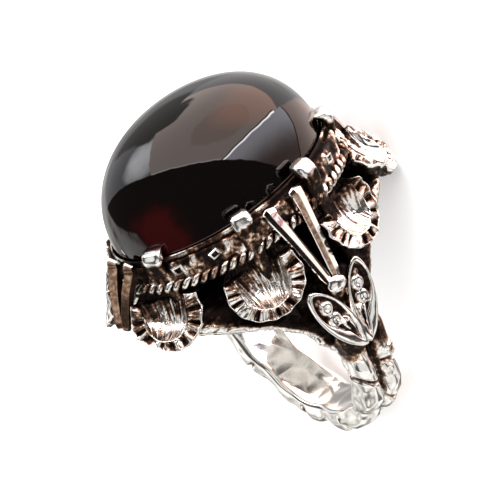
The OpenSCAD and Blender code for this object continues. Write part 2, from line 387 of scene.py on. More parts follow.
def add_maths(tree, operation, *values, vector=False):
    """A sum, product or the like of numbers and other nodes' values."""
    node = tree.nodes.new("ShaderNodeVectorMath" if vector else "ShaderNodeMath")
    node.operation = operation
    for socket, value in zip(node.inputs, values):
        if isinstance(value, bpy.types.NodeSocket):
            tree.links.new(value, socket)
        else:
            socket.default_value = value
    return node.outputs


def add_ramp(tree, share, stops):
    """A colour that follows a share through stops, each a place from 0 to 1 and a colour."""
    ramp = tree.nodes.new("ShaderNodeValToRGB")
    elements = ramp.color_ramp.elements
    for element, (stop, tone) in zip(elements, (stops[0], stops[-1])):
        element.position = stop
        element.color = (*tone, 1)
    for stop, tone in stops[1:-1]:
        elements.new(stop).color = (*tone, 1)
    tree.links.new(share, ramp.inputs["Fac"])
    return ramp.outputs["Color"]


BRIGHT = (0.94, 0.92, 0.89)
BLACK = (0.015, 0.011, 0.01)
# The share of patina, painted shade and painted reflection, and the colour at each stop, from bright to black
TONES = [
    (0.0, BRIGHT),
    (0.2, (0.66, 0.59, 0.52)),
    (0.36, (0.5, 0.33, 0.23)),
    (0.5, (0.25, 0.15, 0.1)),
    (0.68, (0.1, 0.056, 0.037)),
    (1.0, BLACK),
]
# The amounts of patina and painted shade at which silver starts to darken and is black
PATINA_AND_PAINTED_SHADE_START = 0.1
PATINA_AND_PAINTED_SHADE_FULL = 0.95
# Blotches in the patina, to the metre
BLOTCHES = 2200.0


def silver(name, rough, rough_dark, grain, grain_size, patina=0.0, broken=0.35):
    """Silver whose patina and painted shade follow the attribute dark, broken up by noise, with a fine grain
    in its bump.
    """
    material = bpy.data.materials.new(name)
    material.use_nodes = True
    tree = material.node_tree
    shader = tree.nodes["Principled BSDF"]
    shader.inputs["Metallic"].default_value = 1.0
    place = tree.nodes.new("ShaderNodeTexCoord").outputs["Object"]

    amount = tree.nodes.new("ShaderNodeAttribute")
    amount.attribute_name = "dark"
    blotch = add_noise(tree, place, Scale=BLOTCHES, Detail=5.0, Roughness=0.65)
    spread = add_range(tree, blotch["Fac"], 0.3, 0.7, patina - broken, patina + broken)
    total = add_maths(tree, "ADD", amount.outputs["Fac"], spread)
    share = add_range(tree, total["Value"], PATINA_AND_PAINTED_SHADE_START, PATINA_AND_PAINTED_SHADE_FULL, smooth=True)
    tree.links.new(add_ramp(tree, share, TONES), shader.inputs["Base Color"])
    tree.links.new(add_range(tree, share, 0.0, 1.0, rough, rough_dark), shader.inputs["Roughness"])

    fine = add_noise(tree, place, Scale=1000.0 / grain_size, Detail=6.0, Roughness=0.6)
    bump = tree.nodes.new("ShaderNodeBump")
    bump.inputs["Strength"].default_value = 1.0
    bump.inputs["Distance"].default_value = grain * MM
    tree.links.new(fine["Fac"], bump.inputs["Height"])
    tree.links.new(bump.outputs["Normal"], shader.inputs["Normal"])
    return material


# The stone's colours, from dark to the middle of its painted glow
PAINTED_GLOW_TONES = [(0.55, (0.0012, 0.0007, 0.0006)), (0.78, (0.0042, 0.0007, 0.0006)), (1.0, (0.015, 0.0009, 0.001))]


def quartz():
    """Dark smoky quartz: glassy and almost black, with a red glow painted into its colour where light would
    come through it.
    """
    material = bpy.data.materials.new("smoky_quartz")
    material.use_nodes = True
    tree = material.node_tree
    shader = tree.nodes["Principled BSDF"]
    shader.inputs["IOR"].default_value = 1.55
    shader.inputs["Roughness"].default_value = 0.015
    place = tree.nodes.new("ShaderNodeTexCoord").outputs["Object"]
    cloud = add_noise(tree, place, Scale=420.0, Detail=3.0, Roughness=0.55)
    # A painted glow: red in the colour near GLOW_AT, standing in for light through the stone
    away = add_maths(tree, "DISTANCE", place, to_row(GLOW_AT), vector=True)
    near = add_range(tree, away["Value"], GLOW_R * MM, 0.0)
    share = add_maths(tree, "MULTIPLY_ADD", cloud["Fac"], 0.9, near)
    tree.links.new(add_ramp(tree, share["Value"], PAINTED_GLOW_TONES), shader.inputs["Base Color"])
    return material


# Silvers: roughness where it is bright and where it is dark, and height and size of the grain
POLISHED = silver("polished_silver", 0.05, 0.35, 0.003, 0.5, patina=-0.1, broken=0.12)
HAMMERED = silver("hammered_silver", 0.14, 0.4, 0.008, 0.25, patina=-0.12)
WORKED = silver("worked_silver", 0.15, 0.45, 0.014, 0.16)
SHELL = silver("shell_silver", 0.16, 0.4, 0.004, 0.3)
QUARTZ = quartz()


def band_point(r, a, y):
    """A point at radius r and angle a in degrees round the finger, and at y along it."""
    a = np.radians(a)
    return np.stack([r * np.cos(a), y + 0 * a, r * np.sin(a)], -1)


def knot(a, phase):
    """The slow swell of a branch along the band."""
    return 0.16 * (np.sin(np.radians(9 * a + phase)) + 0.6 * np.sin(np.radians(17 * a + 2 * phase)))


def shank_outline(a, count):
    """The shank's section at an angle, as radius and place along the finger: two branches with a groove."""
    w = SHANK_HALF_W * (1 + 0.05 * math.cos(math.radians(a)) ** 2) + 0.6 * knot(a, 40)
    near = SHANK_R + knot(a, 0)
    far = SHANK_R + knot(a, 130)
    groove = 0.12 * math.sin(math.radians(5 * a)) * w
    return closed_curve([
        (FINGER_R, -0.82 * w), (FINGER_R, -0.3 * w), (FINGER_R, 0.3 * w), (FINGER_R, 0.82 * w),
        (FINGER_R + 0.5, w), (far - 0.5, 0.94 * w), (far, 0.6 * w), (far - 0.12, 0.22 * w + groove),
        (SHANK_R - GROOVE_D, 0.04 * w + groove), (near - 0.12, groove - 0.16 * w),
        (near, -0.56 * w), (near - 0.5, -0.94 * w), (FINGER_R + 0.5, -w),
    ], count)


def notches(a, y):
    """The depth of the notches across the branches."""
    depth = np.zeros_like(y)
    for angle, side, deep, width, skew in NOTCHES:
        middle = angle + skew * (y * side - 1)
        cut = np.exp(-(((a - middle) / width) ** 2)) * smoothstep(y * side, 0.0, 0.5)
        depth = np.maximum(depth, deep * cut)
    return depth


def knobs(a, y):
    """The height of the knobs by the shoulders, and the depth of the pits in them."""
    bump = np.zeros_like(y)
    pit = np.zeros_like(y)
    for angle, across, size, high, deep in KNOBS:
        d2 = ((np.radians(a - angle) * SHANK_R) ** 2 + (y - across) ** 2) / size**2
        bump = np.maximum(bump, high * np.sqrt(np.clip(1 - 0.6 * d2, 0, 1)) * smoothstep(d2, 1.6, 0.9))
        pit = np.maximum(pit, deep * np.exp(-5 * d2))
    return bump, pit


def shank():
    """Two bark-like branches, hammered into soft facets and notched here and there."""
    steps, around = 480, 88
    angles = np.linspace(SHANK_END, -180 - SHANK_END, steps)
    section = np.array([shank_outline(a, around) for a in angles])
    r, y = section[..., 0], section[..., 1]
    a = angles[:, None] + 0 * r
    place = band_point(r, a, y)
    stretched = np.stack([np.radians(a) * FINGER_R / 3.2, y / 0.75, r / 0.75], -1)
    outer = smoothstep(r, FINGER_R + 0.3, FINGER_R + 1.0)
    bark = lumps(stretched, 1.0, 3.1) + 0.5 * lumps(stretched, 0.45, 9.7)
    facet = dents(place, SHANK_DENT, 4.2)
    inside = dents(place, INSIDE_DENT, 7.7)
    notch = notches(a, y) * outer
    bump, pit = knobs(a, y)
    push = outer * (0.07 * bark + 0.3 * (facet - 0.4) + bump - pit) - notch
    # The relief pushes outwards from the middle of the section, and dents the inside
    middle_r = FINGER_R + 0.9
    away = np.stack([r - middle_r, y * 0.6], -1)
    away = away / np.linalg.norm(away, axis=-1, keepdims=True)
    r2 = np.maximum(r + away[..., 0] * push, FINGER_R)
    y2 = y + away[..., 1] * push
    r2 = r2 + (1 - outer) * 0.3 * smoothstep(0.66 - inside, 0.0, 0.5) * smoothstep(np.abs(y), 2.2, 1.0)
    # The groove is darkest next to the shoulders and fades towards the bottom
    from_bottom = np.abs(a + 90)
    by_shoulder = smoothstep(from_bottom, 25, 75)
    groove_dark = np.exp(-((y / 0.2) ** 2)) * outer * (0.45 + 0.55 * by_shoulder)
    scratch = smoothstep(-bark, 0.55, 1.0) * outer
    shaded = smoothstep(from_bottom + 2.5 * bark, 78, 89) * outer
    dark = 0.9 * groove_dark + 0.5 * scratch + 2.6 * notch + 2.5 * pit + shaded * (0.85 - 0.5 * bark)
    dark = dark + 0.25 * by_shoulder * outer * (1 - facet)
    points = band_point(r2, a, y2).reshape(-1, 3)
    add_piece("shank", points, loft_faces(steps, around), HAMMERED, dark.ravel())


def plate_outline(a, count):
    """The base plate's section at an angle: radius and place along the finger, count points a side."""
    up = a if a < 90 else 180 - a
    w = np.interp(up, *zip(*PLATE_HALF_W)) + 0.22 * math.sin(math.radians(15 * a))
    w += 0.12 * noise.noise(Vector((a / 4.0, 0.3, 0.7)))
    flat = np.linspace(-1, 1, count)
    inner = [(FINGER_R, s * (w - 0.12)) for s in flat]
    edge = [(FINGER_R + 0.3, w), (PLATE_R - 0.35, w + 0.05), (PLATE_R - 0.1, w - 0.15)]
    outer = [(PLATE_R, s * (w - 0.35)) for s in flat[::-1]]
    return inner + edge + outer + [(r, -y) for r, y in edge[::-1]]


def base_plate():
    """The saddle over the finger: black on top, as patina and painted shade under the head, with a bright,
    wavy edge like bark.
    """
    steps, across = 420, 45
    angles = np.linspace(-PLATE_END, 180 + PLATE_END, steps)
    section = np.array([plate_outline(a, across) for a in angles])
    r, y = section[..., 0], section[..., 1]
    a = angles[:, None] + 0 * r
    half = np.abs(y).max(1, keepdims=True)
    at_edge = smoothstep(np.abs(y), half - 1.1, half - 0.3)
    outer = smoothstep(r, FINGER_R + 0.15, FINGER_R + 0.6)
    place = band_point(r, a, y)
    bark = lumps(place, 0.55, 2.2) + 0.5 * lumps(place, 0.25, 5.0)
    facet = dents(place, PLATE_DENT, 1.3)
    push = outer * (0.10 * bark + 0.16 * (facet - 0.35) * (1 - at_edge)) - 0.06 * outer
    r2 = np.maximum(r + push, FINGER_R)
    y2 = y + np.sign(y) * at_edge * 0.12 * bark
    by_shoulder = smoothstep(np.abs(a - 90), 35, 58)
    worn = smoothstep(np.abs(y), half - 0.35, half - 0.1)
    edge_dark = smoothstep(-bark, 0.0, 0.6) * (1 - by_shoulder)
    edge_dark = edge_dark + (0.9 - 0.6 * bark) * by_shoulder * (1 - worn)
    # The top under the head is black as patina and painted shade
    dark = outer * (1 - at_edge) * 1.1 + at_edge * outer * edge_dark
    points = band_point(r2, a, y2).reshape(-1, 3)
    add_piece("base_plate", points, loft_faces(steps, section.shape[1]), WORKED, dark.ravel())


def leaf_beads(u, v):
    """The height of the beads in a leaf's hollow, and the depth of the pits in them."""
    pebble = np.zeros_like(u)
    pit = np.zeros_like(u)
    for pu, pv, size, high, deep in PEBBLES:
        d = np.hypot(u - pu, v - pv) / size
        pebble = np.maximum(pebble, high * np.sqrt(np.clip(1 - d * d, 0, 1)))
        pit = np.maximum(pit, deep * np.exp(-((d / 0.38) ** 2)))
    return pebble, pit


def leaf(name, flip_x, flip_y):
    """An almond leaf: a polished rim, wider towards the base, round a dark hollow with beads and ribs."""
    base, tip = np.array(LEAF_BASE), np.array(LEAF_TIP)
    along = tip - base
    length = np.linalg.norm(along)
    direction = unit(along)
    out = unit(np.cross(np.cross(direction, (1, 0, 0.1)), direction))
    side = np.cross(direction, out)
    middle = (base + tip) / 2
    # Share of the rim's width inwards, share of the hollow's size, and height over the face
    rows = open_curve([
        (0.9, 1, -LEAF_T), (0.4, 1, -0.7 * LEAF_T), (0.0, 1, -0.3), (0.12, 1, -0.03), (0.35, 1, 0.08),
        (0.7, 1, 0.05), (0.9, 1, -0.06), (1.0, 1, -0.26), (1.0, 0.93, -0.38), (1.0, 0.8, -0.42),
        (1.0, 0.55, -0.43), (1.0, 0.3, -LEAF_FLOOR_D), (1.0, 0.06, -LEAF_FLOOR_D),
    ], 52)
    cols = 144
    t = angles_round(cols)
    by_base = smoothstep(np.cos(t), -0.7, 0.5)
    at_side = smoothstep(np.abs(np.sin(t)), 0.0, 0.4)
    rim_width = 0.17 + by_base * (0.08 + at_side * (0.17 + 0.18 * smoothstep(np.sin(t), -0.3, 0.5)))
    s = (1 - rim_width * rows[:, :1]) * rows[:, 1:2]
    h = rows[:, 2:] + 0 * s
    u = -s * np.cos(t) * length / 2
    v = s * np.sin(t) * np.abs(np.sin(t)) ** 0.25 * LEAF_HALF_W
    hollow = smoothstep(rows[:, :1] + 1 - rows[:, 1:2], 0.97, 1.06)
    pebble, pit = leaf_beads(u, v)
    # Ribs fan out from the base
    fan = v / (0.16 + 0.3 * np.clip(u + 3.0, 0, 4))
    ribbed = smoothstep(-u, 0.0, 0.8)
    ribs = ribbed * 0.13 * np.cos(fan * 9.5)
    h = h + hollow * (pebble + ribs + 0.24 * ribbed - pit) + 0.03 * lumps(np.stack([u, v, h], -1), 0.6, 8.0)
    ends = [middle - out * LEAF_T, middle - out * LEAF_FLOOR_D]
    points = middle + u[..., None] * direction + v[..., None] * side + h[..., None] * out
    points = np.vstack([points.reshape(-1, 3), ends]) * np.array([flip_x, flip_y, 1])
    rim_dark = smoothstep(-h, 0.3, 0.8) * (1 - hollow)
    dark = hollow * (1.2 - 3.6 * pebble - 9.0 * np.clip(ribs + 0.01, 0, 1) + 2.2 * pit) + 0.7 * rim_dark
    add_piece(name, points, spindle_faces(len(rows), cols), HAMMERED, np.append(dark.ravel(), [0.8, 0.9]))


def shoulder_core(name, flip_x):
    """The shoulder under the leaves."""
    steps, around = 48, 48
    inner = SHOULDER_INNER_X
    rings = []
    for z, w, x in open_curve(SHOULDER, steps):
        half_x = (inner + x) / 2
        ring = closed_curve([
            (inner, -w), (half_x, -w), (x - 0.3, -w), (x, -0.5 * w), (x, 0.5 * w), (x - 0.3, w), (half_x, w),
            (inner, w),
        ], around)
        rings.append([(*p, z) for p in ring])
    place = np.array(rings)
    bark = lumps(place * np.array([1, 1, 0.4]), 0.5, 6.0)
    place[..., 0] += 0.12 * bark * smoothstep(place[..., 0], 9.4, 10.2)
    place[..., 1] += 0.08 * bark * np.sign(place[..., 1])
    # Nothing reaches into the finger hole
    radius = np.hypot(place[..., 0], place[..., 2])
    place[..., 0] += np.where(radius < FINGER_R + 0.05, 1.2, 0.0)
    points = place.reshape(-1, 3) * np.array([flip_x, 1, 1])
    dark = 0.75 + 0.5 * np.clip(-bark, -0.6, 1)
    add_piece(name, points, loft_faces(steps, around), WORKED, dark.ravel())


def bar_section(ridge, facet, face_patina_and_reflection):
    """The section with its ridge moved sideways and the patina and painted reflection of its narrow facet and
    of its face set.
    """
    section = np.array(BAR_SECTION, float)
    section[RIDGE_ROWS, 0] += ridge
    section[FACE_ROWS, 2] = face_patina_and_reflection
    section[FACET_ROWS, 2] = facet
    return section


def flat_bar(path, across, outwards, widths, thicks, section):
    """Rings of a bar along a path, with a low ridge along its front and crisp, slightly bevelled edges."""
    rings = []
    last = len(path) - 1
    for i, p in enumerate(path):
        along = unit(path[min(i + 1, last)] - path[max(i - 1, 0)])
        side = unit(across - np.dot(across, along) * along)
        up = np.cross(along, side)
        if np.dot(np.cross(path[last] - path[0], side), outwards) < 0:
            up = -up
        rings.append([p + side * x * widths[i] / 2 + up * y * thicks[i] / 2 for x, y, _ in section])
    return np.array(rings)


def v_bars(name, foot, head, inward, across, face_patina_and_reflection, first_facet_painted_reflection):
    """Two polished bars that lean together on one foot, each bent over at its top."""
    foot, head, inward, across = (np.array(v, float) for v in (foot, head, inward, across))
    rise = np.array([0, 0, 1.0])
    steps = 40
    share = np.linspace(0, 1, steps)
    widths = np.interp(share, [0, 0.05, 0.4, 0.8, 0.97, 1], [0.5, 0.7, 0.8, 0.98, 0.9, 0.6]) * BAR_W
    thicks = np.interp(share, [0, 0.05, 0.5, 0.9, 1], [0.5, 0.8, 1.0, 0.9, 0.55]) * BAR_T
    pair = ((-1, "a", FIRST_RIDGE, first_facet_painted_reflection), (1, "b", SECOND_RIDGE, SECOND_FACET_PAINTED_REFLECTION))
    for s, word, ridge, facet in pair:
        top = np.where(across > 0, head * s, head)
        low = foot + across * s * BAR_W * 0.35
        path = open_curve([
            low, low + (top - low) * 0.3 - inward * 0.06, low + (top - low) * 0.62 - inward * 0.04,
            top - rise * 0.35, top + rise * 0.12 + inward * 0.12, top + inward * 0.42 + rise * 0.3,
        ], steps)
        section = bar_section(ridge, facet, face_patina_and_reflection)
        rings = flat_bar(path, across, -inward, widths, thicks, section)
        # The patina column holds painted reflections: black on the narrow facets and warm peach-brown on the
        # front and back bars' faces
        dark = np.tile(section[:, 2], (steps, 1)) * smoothstep(share, 0.9, 0.82)[:, None]
        add_piece(f"v_bar_{name}_{word}", rings.reshape(-1, 3), loft_faces(steps, len(section)), POLISHED,
                  dark.ravel(), crease=20)


def foot_bead(name, flip_x):
    """The rounded lump of silver where two shoulder bars meet."""
    rows, cols = 14, 24
    middle = np.array(FOOT_BEAD_AT) * np.array([flip_x, 1, 1])
    e = np.linspace(-80, 80, rows)[:, None] * math.pi / 180
    t = angles_round(cols)
    ring = np.stack([np.cos(e) * np.cos(t), np.cos(e) * np.sin(t), np.sin(e) + 0 * t], -1)
    ring = ring * np.array(FOOT_BEAD_SIZE) + middle
    ring = ring + 0.05 * lumps(ring, 0.7, 2.0)[..., None]
    half_h = np.array([0, 0, FOOT_BEAD_SIZE[2]])
    points = np.vstack([ring.reshape(-1, 3), middle - half_h, middle + half_h])
    add_piece(name, points, spindle_faces(rows, cols), SHELL, np.full(len(points), -0.5))


def oval_ring(a, b, out, z, t):
    """A point at out beyond an oval of half-axes a and b, at angle t in radians."""
    x, y = a * np.cos(t), b * np.sin(t)
    nx, ny = np.cos(t) / a, np.sin(t) / b
    n = np.hypot(nx, ny)
    return np.stack([x + out * nx / n, y + out * ny / n, z + 0 * x], -1)


def bezel():
    """The oval cup: a bark-like wall, and a shelf and inner side that are black as patina and painted shade,
    with a thin lip against the stone.
    """
    steps = 640
    t = angles_round(steps)
    # Along the section: share from the stone (0) to the wall (1), and height
    section = open_curve([
        (0.9, BEZEL_FOOT_Z), (1.0, 11.35), (1.0, 11.8), (0.99, 12.3), (0.95, 12.75), (0.86, 13.05),
        (0.7, 13.12), (0.52, 13.0), (0.4, 12.95), (0.33, 13.15), (0.28, 13.42), (0.17, 13.5), (0.04, 13.43),
        (0.0, 13.2), (0.0, 12.6), (0.0, BEZEL_FLOOR_Z),
    ], 66)
    stone = oval_ring(STONE_A + BEZEL_GAP, STONE_B + BEZEL_GAP, 0, 0, t)
    wall = oval_ring(BEZEL_A, BEZEL_B, 0, 0, t)
    share, z = section[:, 0][:, None, None], section[:, 1]
    place = stone[None] * (1 - share) + wall[None] * share
    place[..., 2] = z[:, None]
    bark = lumps(place * np.array([1, 1, 0.7]), 0.85, 1.0) + 0.35 * lumps(place, 0.3, 2.0)
    crack = dents(place, 1.2, 6.0)
    out = wall - stone
    out = out / np.linalg.norm(out, axis=-1, keepdims=True)
    rough = smoothstep(section[:, 0], 0.42, 0.58)[:, None]
    place = place + out[None] * ((0.2 * bark + 0.14 * (crack - 0.5)) * rough)[..., None]
    place[..., 2] += (0.2 * bark + 0.2 * (crack - 0.6)) * rough * smoothstep(z, 12.6, 12.9)[:, None]
    # The lip is worn bright in patches, but not along the stone's sides
    patch = lumps(place * np.array([1, 1, 0.3]), 1.7, 4.0)
    lip = (1 - rough) * smoothstep(z, 13.0, 13.3)[:, None]
    by_side = smoothstep(np.abs(place[..., 1]), 8.0, 7.1) * (section[:, 0] > 0.1)[:, None]
    # Inside the lip and down the side against the stone it is black as patina and painted shade
    dark = rough * (0.78 - 0.8 * np.clip(bark, -0.5, 0.7)) + (1 - rough) * (1 - lip)
    dark = dark + lip * (0.3 + 1.1 * patch + 0.7 * by_side)
    ends = [(0, 0, BEZEL_FOOT_Z), (0, 0, BEZEL_FLOOR_Z)]
    add_piece("bezel", np.vstack([place.reshape(-1, 3), ends]), spindle_faces(len(section), steps), WORKED,
              np.append(dark.ravel(), [1, 1]))


def tiles():
    """A few small raised squares on the bezel's wall, each sunk in its middle."""
    points, faces = [], []
    corners = ((-1, -1), (1, -1), (1, 1), (-1, 1))
    last = 4 * (len(TILE_ROWS) - 1)
    for angle, size, turn, z in TILES:
        t = math.radians(angle)
        centre = oval_ring(BEZEL_A, BEZEL_B, 0.02, z, np.array([t]))[0]
        out = unit((math.cos(t) / BEZEL_A, math.sin(t) / BEZEL_B, 0))
        flat = np.array([-out[1], out[0], 0])
        rise = np.array([0, 0, 1.0])
        c, s = math.cos(math.radians(turn)), math.sin(math.radians(turn))
        side, up = c * flat + s * rise, c * rise - s * flat
        first = len(points)
        for share, lift, _ in TILE_ROWS:
            for u, v in corners:
                points.append(centre + side * u * share * size + up * v * share * size * 0.75 + out * lift)
        for i in range(first, first + last, 4):
            for j in range(4):
                m = (j + 1) % 4
                faces.append((i + j, i + m, i + 4 + m, i + 4 + j))
        faces.append(tuple(first + last + j for j in range(4)))
        faces.append(tuple(first + 3 - j for j in range(4)))
    dark = np.tile(np.repeat([row[2] for row in TILE_ROWS], 4), len(TILES))
    add_piece("bezel_tiles", np.array(points), faces, WORKED, dark, crease=40)


def rope():
    """Two wires twisted together, in one ring under the bezel."""
    strand_r = ROPE_R * 0.5
    a, b = BEZEL_A - ROPE_INSET, BEZEL_B - ROPE_INSET
    fine = np.linspace(0, 2 * math.pi, 4001)
    line = oval_ring(a, b, 0, ROPE_Z, fine)
    length = np.append(0, np.cumsum(np.linalg.norm(np.diff(line, axis=0), axis=1)))
    turns = round(length[-1] / (2 * ROPE_BUMP))
    steps, sides = turns * 18, 12
    s = np.arange(steps) / steps
    t = np.interp(s * length[-1], length, fine)
    phase = s * turns * 2 * math.pi
    for strand in (0, 1):
        turn = phase + strand * math.pi
        centre = oval_ring(a, b, strand_r * np.cos(turn), 0, t)
        centre[:, 2] = ROPE_Z + strand_r * np.sin(turn)
        rings = sweep(centre, strand_r * 0.98, sides)
        # The wires are worn bright where they stand out most
        spot = oval_ring(a, b, 0, ROPE_Z, t)[:, None]
        depth = np.linalg.norm(rings - spot, axis=-1) / ROPE_R
        worn = lumps(spot * np.array([1, 1, 0]) + 0 * rings, 1.3, 3.0)
        dark = 1.2 - (0.95 + 0.7 * worn) * smoothstep(depth, 0.6, 0.95)
        add_piece(f"rope_wire_{strand + 1}", rings.reshape(-1, 3), loft_faces(steps, sides, looped=True),
                  WORKED, dark.ravel())


def sweep(centre, radius, sides):
    """Round rings along a closed line."""
    along = np.roll(centre, -1, 0) - np.roll(centre, 1, 0)
    along /= np.linalg.norm(along, axis=1, keepdims=True)
    side = np.cross(along, (0, 0, 1.0))
    side /= np.linalg.norm(side, axis=1, keepdims=True)
    up = np.cross(side, along)
    turn = angles_round(sides)
    return (centre[:, None] + radius * (side[:, None] * np.cos(turn)[None, :, None]
                                        + up[:, None] * np.sin(turn)[None, :, None]))


def prong(name, x, y):
    """A bark-like post behind its petal, whose polished head leans over the stone's edge."""
    out = unit((x / BEZEL_A**2, y / BEZEL_B**2, 0))
    side = np.array([out[1], -out[0], 0])
    low = math.sqrt(PLATE_R**2 - min(abs(x), PLATE_R - 0.2) ** 2) - PRONG_SINK
    high = GIRDLE_Z + PRONG_TOP
    # Share of the height, shift outwards, share of the width, share of the thickness
    rows = open_curve([
        (0, -0.5, 0.75, 1), (0.3, -0.4, 0.82, 1), (0.62, -0.3, 0.9, 1), (0.76, -0.1, 0.95, 1),
        (0.85, 0.08, 1, 1), (0.91, 0.0, 1.02, 1.15), (0.95, -0.2, 1.03, 1.25), (0.985, -0.35, 0.95, 1.15),
        (1, -0.42, 0.6, 0.65),
    ], 64)
    cols = 32
    t = angles_round(cols)
    cx = np.sign(np.cos(t)) * np.abs(np.cos(t)) ** 0.62
    cy = np.sign(np.sin(t)) * np.abs(np.sin(t)) ** 0.7
    base = np.array([x, y, low])
    place = (base + rows[:, :1, None] * np.array([0, 0, high - low])
             + out * (rows[:, 1:2] + cy * rows[:, 3:4] * PRONG_T / 2)[..., None]
             + side * (cx * rows[:, 2:3] * PRONG_W / 2)[..., None])
    body = 1 - smoothstep(place[..., 2], high - 1.25, high - 0.8)
    bark = lumps(place * np.array([1, 1, 0.5]), 0.6, 3.0) + 0.35 * lumps(place, 0.25, 1.0)
    away = place - place.mean(1, keepdims=True)
    away[..., 2] = 0
    away /= np.maximum(np.linalg.norm(away, axis=-1, keepdims=True), 1e-6)
    place = place + away * (0.12 * bark * body - 0.05 * body)[..., None]
    # Below the girdle the post keeps clear of the stone
    seat = np.hypot(place[..., 0] / (STONE_A + PRONG_GAP), place[..., 1] / (STONE_B + PRONG_GAP))
    cut = np.where(place[..., 2] < GIRDLE_Z, 1 / np.minimum(seat, 1), 1)
    place[..., :2] *= cut[..., None]
    # The post is dark as patina and painted shade under the head, and darker towards its foot as painted
    # shade under the petals
    dark = body * (0.85 - 0.75 * np.clip(bark, -0.5, 0.8)) + 0.5 * smoothstep(9.5 - place[..., 2], -1, 1)
    # The head's inner half, towards the stone, is painted shade
    inner = smoothstep(-np.sin(t), -0.1, 0.3) * (rows[:, :1] < 0.97)
    dark = dark + (1 - body) * inner
    add_piece(name, place.reshape(-1, 3), loft_faces(len(rows), cols), WORKED, dark.ravel())


def petal_outline(t, around):
    """The radius of a petal and of its cup at angles t round its middle."""
    cos, sin = np.cos(t), np.sin(t)
    # Rounder below and squarer towards the open top
    power = 2 + 0.7 * smoothstep(sin, 0.0, 0.6)
    outer = (np.abs(cos / PETAL_HALF_W) ** power + np.abs(sin / PETAL_HALF_H) ** power) ** (-1 / power)
    outer = outer * (0.985 + 0.035 * lumps(around, 0.9, 5.0) + 0.012 * np.cos(FLUTES * t))
    # The cup is a U: straight sides above its middle, which run into the rim, and round below
    below = 1 / np.hypot(cos / CUP_HALF_W, sin / CUP_FOOT)
    above = CUP_HALF_W / np.maximum(np.abs(cos), 0.05)
    cup = np.where(sin < 0, below, above) * (1 + 0.03 * lumps(around, 0.5, 11.0))
    return outer, (cup**-6 + (outer - 0.12) ** -6) ** (-1 / 6)


def petal_patina(b, height, ridge, patch, stripe, streak, around):
    """The patina in a petal's cup, darker towards its top as patina and painted shade under the rope, and on
    its band, whose rim is worn bright.
    """
    # The cup darkens towards its top: brown patina and painted shade under the rope
    cup = 0.68 * smoothstep(height / PETAL_HALF_H + 0.45 * patch + 0.3 * stripe, -0.3, 0.45) + 0.4 * stripe
    groove = smoothstep(-ridge, -0.45, 0.5)
    vary = lumps(around, 0.45, 9.0)
    worn = lumps(around, 0.6, 13.0)
    band = groove * (0.6 + 0.6 * vary) + 0.3 * patch + 0.5 * streak + 0.32 - 0.5 * worn
    rim = smoothstep(b, 0.86, 0.93)
    return cup, band * (1 - rim) - 0.1 * rim


def petal(name, place, facing, lean, fold):
    """A shell: a striated spoon, open at its top, in a fluted band with a thin bright rim."""
    rows = open_curve(PETAL_ROWS, 92)
    cols = 360
    k, b, h, flute_share, drop_share = (rows[:, i:i + 1] for i in range(5))
    t = angles_round(cols)
    seed = 1.7 * place[0] + 0.9 * place[1]
    around = np.stack([1.6 * np.cos(t), 1.6 * np.sin(t), seed + 0 * t], -1)
    outer, cup = petal_outline(t, around)
    radius = cup * k + (outer - cup) * b
    # Broad ridges with narrow grooves between them, from -1 to 1
    phase = FLUTES * (t + 0.3 * lumps(around, 0.9, 3.0))
    ridge = 2 * np.abs(np.cos(phase / 2)) ** 0.8 - 1
    strength = 1 + 0.5 * lumps(around, 0.35, 8.0)
    turn = (t - math.radians(fold[0]) + math.pi) % (2 * math.pi) - math.pi
    curl = np.exp(-((turn / math.radians(fold[1])) ** 2)) * smoothstep(b, 0.15, 1.0) * (k > 0.9)
    radius = radius * (1 - 0.16 * curl * min(fold[2], 1))
    width, height = radius * np.cos(t), radius * np.sin(t)
    flat, level = 0 * width, seed + 0 * width
    streak = lumps(np.stack([9 * t + 0 * b, 0.6 * radius, level], -1), 0.5, 3.0)
    edge = lumps(np.stack([width, flat, level], -1), 0.7, 6.0)
    open_top = smoothstep(height + 0.15 * edge, CUP_TOP - 0.2, CUP_TOP + 0.2)
    flute = flute_share * FLUTE_D * (ridge - 0.3 + 0.3 * streak) * strength * (1 - 0.8 * open_top)
    # Striations that fan out from below the cup
    fan = np.arctan2(width, height + 2.2 * PETAL_HALF_H)
    line = np.stack([fan * 40, 0 * fan, np.hypot(width, height) * 0.2 + seed], -1)
    stripe = lumps(line, 1.0, 2.0) + 0.6 * lumps(line * np.array([2.2, 1, 1]), 1.0, 5.0)
    swell = lumps(np.stack([width, height, level], -1), 1.3, 1.0)
    patch = lumps(np.stack([width, height, flat], -1), 0.8, seed + 4)
    row = np.arange(len(rows))[:, None] + flat
    in_cup = (row > len(rows) * PETAL_CUP) * 1.0
    behind = (row < len(rows) * PETAL_BEHIND) * 1.0
    h = h - CUP_OPEN * drop_share * open_top + flute + fold[2] * curl + 0.08 * in_cup * stripe + 0.09 * swell
    cup_patina_and_shade, band_dark = petal_patina(b, height, ridge, patch, stripe, streak, around)
    # The back of a petal is dark as patina and painted shade, and its open top is black as painted shade
    # under the rope
    dark = in_cup * cup_patina_and_shade + (1 - in_cup) * (1 - behind) * band_dark + behind * 0.8
    dark = dark + open_top * (1 - behind)
    local = np.stack([h, width, height], -1).reshape(-1, 3)
    local = np.vstack([local, (PETAL_BACK, 0, 0), (-CUP_D - 0.02, 0, 0)])
    turned = Matrix.Rotation(math.radians(facing), 3, "Z") @ Matrix.Rotation(math.radians(-lean), 3, "Y")
    points = local @ np.array(turned).T + np.array(place)
    # Nothing reaches into the finger hole
    short = np.clip(FINGER_R + 0.02 - np.hypot(points[:, 0], points[:, 2]), 0, None)
    points[:, 2] += short
    add_piece(name, points, spindle_faces(len(rows), cols), SHELL, np.append(dark.ravel(), [1.0, 0.3]))


